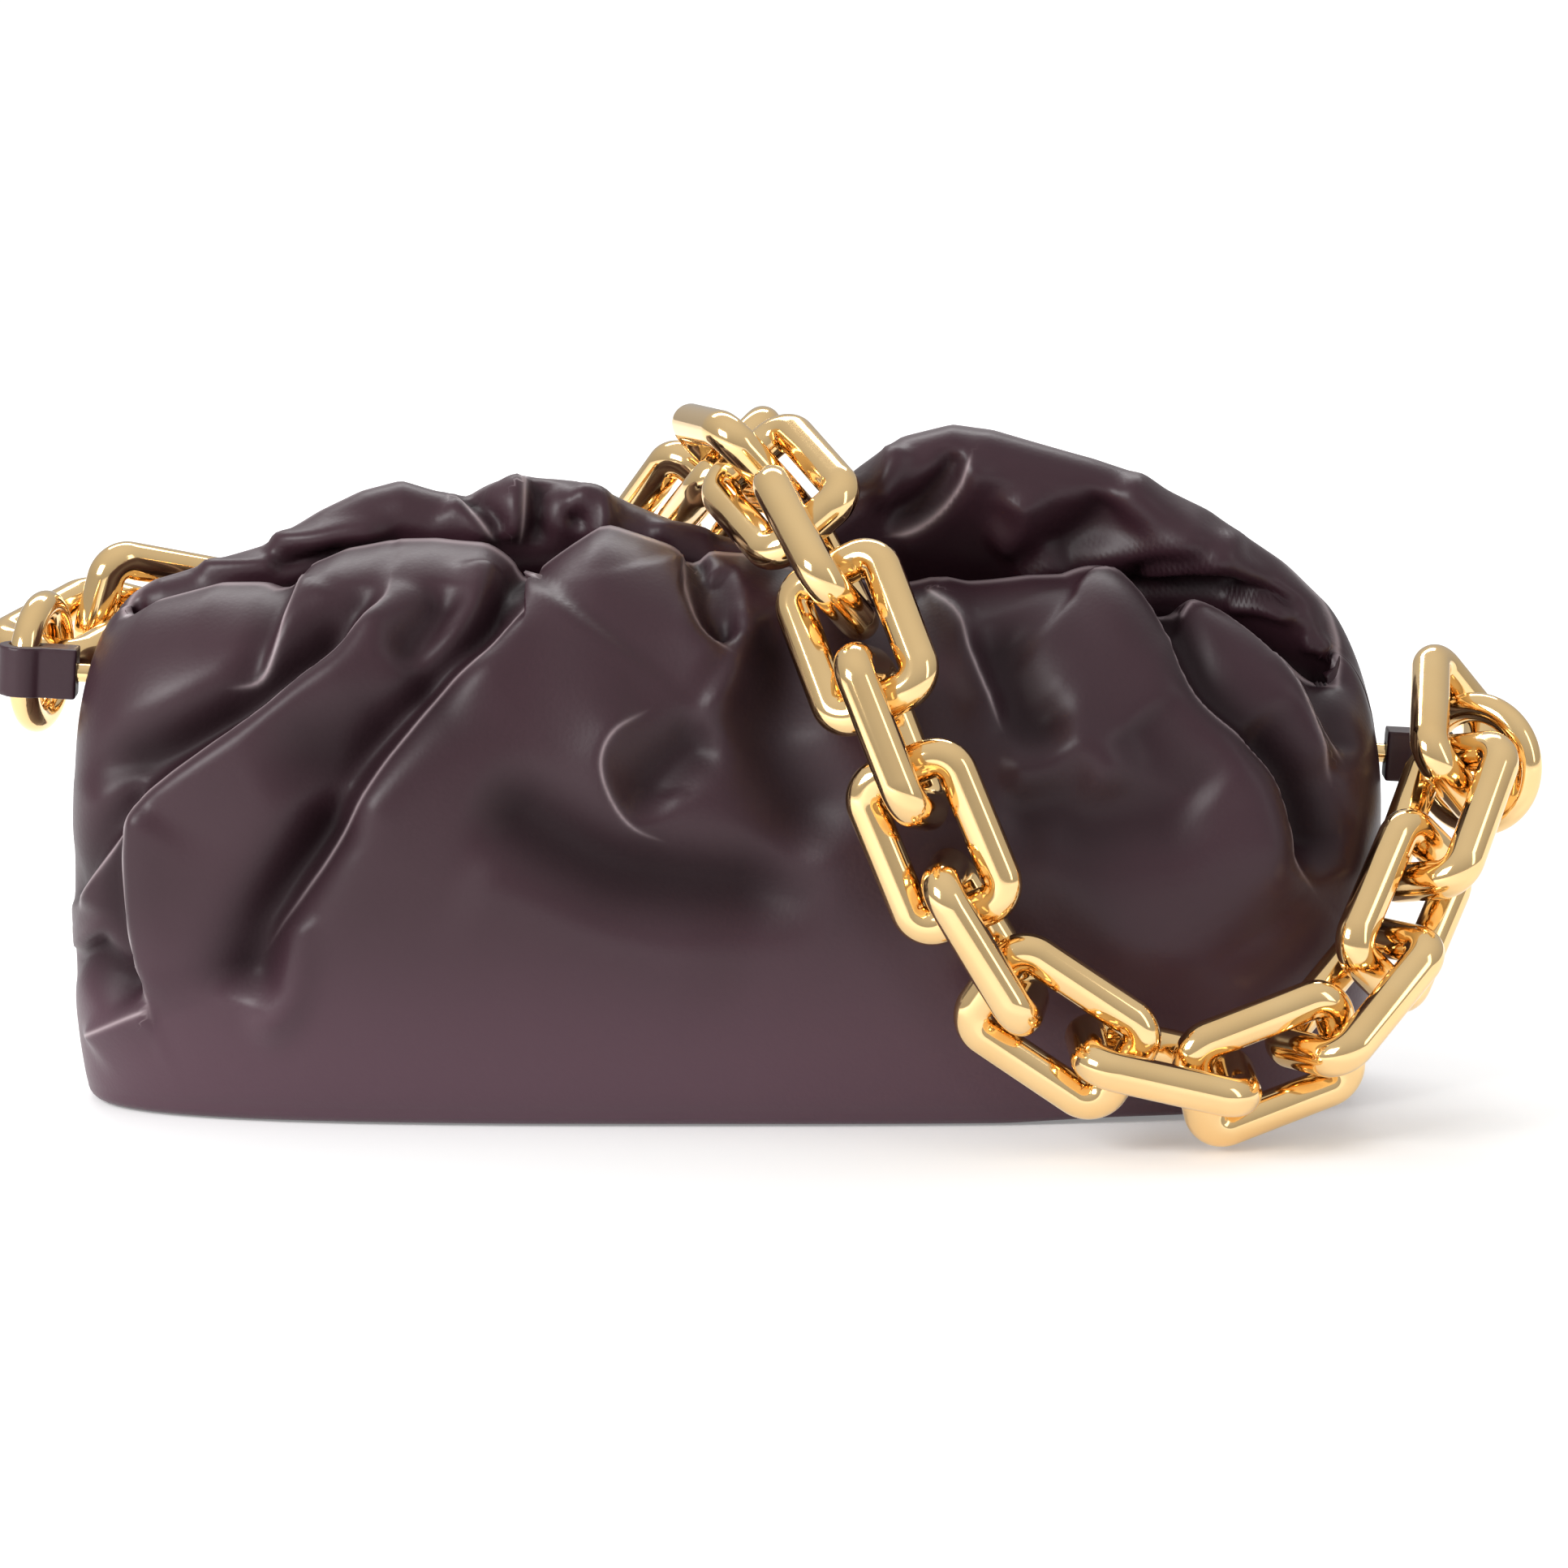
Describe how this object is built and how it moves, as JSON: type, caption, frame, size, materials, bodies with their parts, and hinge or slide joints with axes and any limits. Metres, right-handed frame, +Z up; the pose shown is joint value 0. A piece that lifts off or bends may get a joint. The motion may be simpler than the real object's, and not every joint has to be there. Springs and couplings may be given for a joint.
{
  "type": "chain shoulder bag",
  "caption": "Soft gathered leather pouch with a hidden hinged mouth frame and a heavy polished metal chain that lies over its top and front.",
  "frame": {"origin": "centre of the base, on the floor", "axes": "+X to the viewer's right along the bag, -Y towards the viewer, +Z up"},
  "size_m": [0.3696, 0.1785, 0.1632],
  "materials": {
    "leather": "smooth soft satin leather, dark aubergine",
    "gold": "polished gold tone",
    "lining": "woven lining",
    "board": "stiff board",
    "frame_steel": "plain steel",
    "magnet": "plated"
  },
  "bodies": {
    "bag": {"back_lining": "lining", "back_panel": "leather", "base_board": "board", "base_lining": "lining", "base_panel": "leather", "front_lining": "lining", "front_panel": "leather", "left_hinge_pin": "gold", "left_hinge_plate": "frame_steel", "right_hinge_pin": "gold", "right_hinge_plate": "frame_steel"},
    "front_frame": {"front_bow": "frame_steel", "front_magnets": "magnet"},
    "back_frame": {"back_bow": "frame_steel", "back_magnets": "magnet"},
    "left_tab": {"left_tab": "leather"},
    "right_tab": {"right_tab": "leather"},
    "left_ring": {"left_ring": "gold"},
    "right_ring": {"right_ring": "gold"},
    "chain_link_01": {"chain_link_01": "gold"},
    "chain_link_02": {"chain_link_02": "gold"},
    "chain_link_03": {"chain_link_03": "gold"},
    "chain_link_04": {"chain_link_04": "gold"},
    "chain_link_05": {"chain_link_05": "gold"},
    "chain_link_06": {"chain_link_06": "gold"},
    "chain_link_07": {"chain_link_07": "gold"},
    "chain_link_08": {"chain_link_08": "gold"},
    "chain_link_09": {"chain_link_09": "gold"},
    "chain_link_10": {"chain_link_10": "gold"},
    "chain_link_11": {"chain_link_11": "gold"},
    "chain_link_12": {"chain_link_12": "gold"},
    "chain_link_13": {"chain_link_13": "gold"},
    "chain_link_14": {"chain_link_14": "gold"},
    "chain_link_15": {"chain_link_15": "gold"},
    "chain_link_16": {"chain_link_16": "gold"},
    "chain_link_17": {"chain_link_17": "gold"},
    "chain_link_18": {"chain_link_18": "gold"},
    "chain_link_19": {"chain_link_19": "gold"},
    "chain_link_20": {"chain_link_20": "gold"},
    "chain_link_21": {"chain_link_21": "gold"},
    "chain_link_22": {"chain_link_22": "gold"},
    "chain_link_23": {"chain_link_23": "gold"}
  },
  "joints": [
    {"name": "front_frame_open", "type": "hinge", "parent": "bag", "child": "front_frame", "pos_m": [0.00289, 0, 0.0905], "axis": [0.9981, 0, -0.0623], "range_deg": [0, 12], "deforming": ["front_panel", "front_lining"]},
    {"name": "back_frame_open", "type": "hinge", "parent": "bag", "child": "back_frame", "pos_m": [0.00289, 0, 0.0905], "axis": [-0.9981, 0, 0.0623], "range_deg": [0, 12], "deforming": ["back_panel", "back_lining"]},
    {"name": "left_tab_turn", "type": "hinge", "parent": "bag", "child": "left_tab", "pos_m": [-0.1492, 0, 0.1], "axis": [0.9981, 0, -0.0623], "range_deg": [-1, 5]},
    {"name": "left_ring_turn", "type": "hinge", "parent": "left_tab", "child": "left_ring", "pos_m": [-0.16187, 0.0132, 0.10079], "axis": [0.9762, -0.2079, -0.061], "continuous": true},
    {"name": "right_tab_turn", "type": "hinge", "parent": "bag", "child": "right_tab", "pos_m": [0.15498, 0, 0.081], "axis": [0.9981, 0, -0.0623], "range_deg": [-1, 5]},
    {"name": "right_ring_turn", "type": "hinge", "parent": "right_tab", "child": "right_ring", "pos_m": [0.17849, -0.00774, 0.07953], "axis": [-0.5725, -0.8192, 0.0358], "continuous": true},
    {"name": "front_chain_swing", "type": "hinge", "parent": "bag", "child": "chain_link_17", "pos_m": [0.00821, -0.00416, 0.15086], "axis": [-0.942, -0.0003, 0.3357], "range_deg": [0, 12]},
    {"name": "back_chain_swing", "type": "hinge", "parent": "bag", "child": "chain_link_05", "pos_m": [0.00162, 0.02129, 0.14971], "axis": [0.9612, -0.0283, 0.2743], "range_deg": [0, 9]},
    {"name": "link_01_turn", "type": "hinge", "parent": "chain_link_05", "child": "chain_link_01", "pos_m": [-0.15485, 0.03418, 0.10605], "axis": [0.5329, 0.8186, 0.2144], "range_deg": [-3, 3]},
    {"name": "link_02_turn", "type": "hinge", "parent": "chain_link_05", "child": "chain_link_02", "pos_m": [-0.13682, 0.05162, 0.10682], "axis": [0.7811, 0.5782, -0.2355], "range_deg": [-3, 3]},
    {"name": "link_03_turn", "type": "hinge", "parent": "chain_link_05", "child": "chain_link_03", "pos_m": [-0.11653, 0.06473, 0.09805], "axis": [0.8601, 0.3595, -0.3619], "range_deg": [-8, 8]},
    {"name": "link_04_turn", "type": "hinge", "parent": "chain_link_05", "child": "chain_link_04", "pos_m": [-0.09274, 0.07002, 0.09001], "axis": [0.9756, 0.1425, -0.1671], "range_deg": [-8, 8]},
    {"name": "link_06_turn", "type": "hinge", "parent": "chain_link_05", "child": "chain_link_06", "pos_m": [-0.0423, 0.07052, 0.09576], "axis": [0.8938, -0.1216, 0.4316], "range_deg": [-8, 8]},
    {"name": "link_07_turn", "type": "hinge", "parent": "chain_link_05", "child": "chain_link_07", "pos_m": [-0.02308, 0.06568, 0.11197], "axis": [0.6232, -0.3678, 0.6902], "range_deg": [-8, 8]},
    {"name": "link_08_turn", "type": "hinge", "parent": "chain_link_05", "child": "chain_link_08", "pos_m": [-0.01012, 0.05143, 0.12882], "axis": [0.4233, -0.6342, 0.647], "range_deg": [-8, 8]},
    {"name": "link_09_turn", "type": "hinge", "parent": "chain_link_05", "child": "chain_link_09", "pos_m": [-0.00051, 0.03279, 0.14338], "axis": [0.2511, -0.876, 0.4118], "range_deg": [-8, 8]},
    {"name": "link_10_turn", "type": "hinge", "parent": "bag", "child": "chain_link_10", "pos_m": [0.00415, 0.00826, 0.14958], "axis": [0.2731, -0.9607, 0.0506], "range_deg": [-8, 8]},
    {"name": "link_11_turn", "type": "hinge", "parent": "chain_link_17", "child": "chain_link_11", "pos_m": [0.01428, -0.01478, 0.14522], "axis": [0.385, -0.8595, -0.3362], "range_deg": [-8, 8]},
    {"name": "link_12_turn", "type": "hinge", "parent": "chain_link_17", "child": "chain_link_12", "pos_m": [0.02252, -0.03625, 0.13386], "axis": [0.3413, -0.7576, -0.5564], "range_deg": [-8, 8]},
    {"name": "link_13_turn", "type": "hinge", "parent": "chain_link_17", "child": "chain_link_13", "pos_m": [0.03175, -0.05289, 0.11672], "axis": [0.3082, -0.5848, -0.7504], "range_deg": [-8, 8]},
    {"name": "link_14_turn", "type": "hinge", "parent": "chain_link_17", "child": "chain_link_14", "pos_m": [0.03949, -0.06558, 0.09587], "axis": [0.357, -0.3187, -0.8781], "range_deg": [-8, 8]},
    {"name": "link_15_turn", "type": "hinge", "parent": "chain_link_17", "child": "chain_link_15", "pos_m": [0.04909, -0.06992, 0.07246], "axis": [0.3828, -0.115, -0.9167], "range_deg": [-8, 8]},
    {"name": "link_16_turn", "type": "hinge", "parent": "chain_link_17", "child": "chain_link_16", "pos_m": [0.06085, -0.07206, 0.04982], "axis": [0.5197, -0.017, -0.8542], "range_deg": [-8, 8]},
    {"name": "link_18_turn", "type": "hinge", "parent": "chain_link_17", "child": "chain_link_18", "pos_m": [0.10136, -0.07273, 0.02139], "axis": [0.9641, 0.1079, -0.2427], "range_deg": [-8, 8]},
    {"name": "link_19_turn", "type": "hinge", "parent": "chain_link_17", "child": "chain_link_19", "pos_m": [0.12593, -0.06644, 0.02035], "axis": [0.9186, 0.2588, 0.2988], "range_deg": [-8, 8]},
    {"name": "link_20_turn", "type": "hinge", "parent": "chain_link_17", "child": "chain_link_20", "pos_m": [0.14593, -0.05865, 0.03424], "axis": [0.6163, 0.4715, 0.6307], "range_deg": [-8, 8]},
    {"name": "link_21_turn", "type": "hinge", "parent": "chain_link_17", "child": "chain_link_21", "pos_m": [0.1584, -0.04439, 0.05154], "axis": [0.3949, 0.5381, 0.7446], "range_deg": [-8, 8]},
    {"name": "link_22_turn", "type": "hinge", "parent": "chain_link_17", "child": "chain_link_22", "pos_m": [0.16847, -0.03124, 0.07122], "axis": [0.3461, 0.568, 0.7467], "range_deg": [-8, 8]},
    {"name": "link_23_turn", "type": "hinge", "parent": "chain_link_17", "child": "chain_link_23", "pos_m": [0.17303, -0.01225, 0.08731], "axis": [0.0922, 0.8579, 0.5055], "range_deg": [-4, 4]}
  ]
}
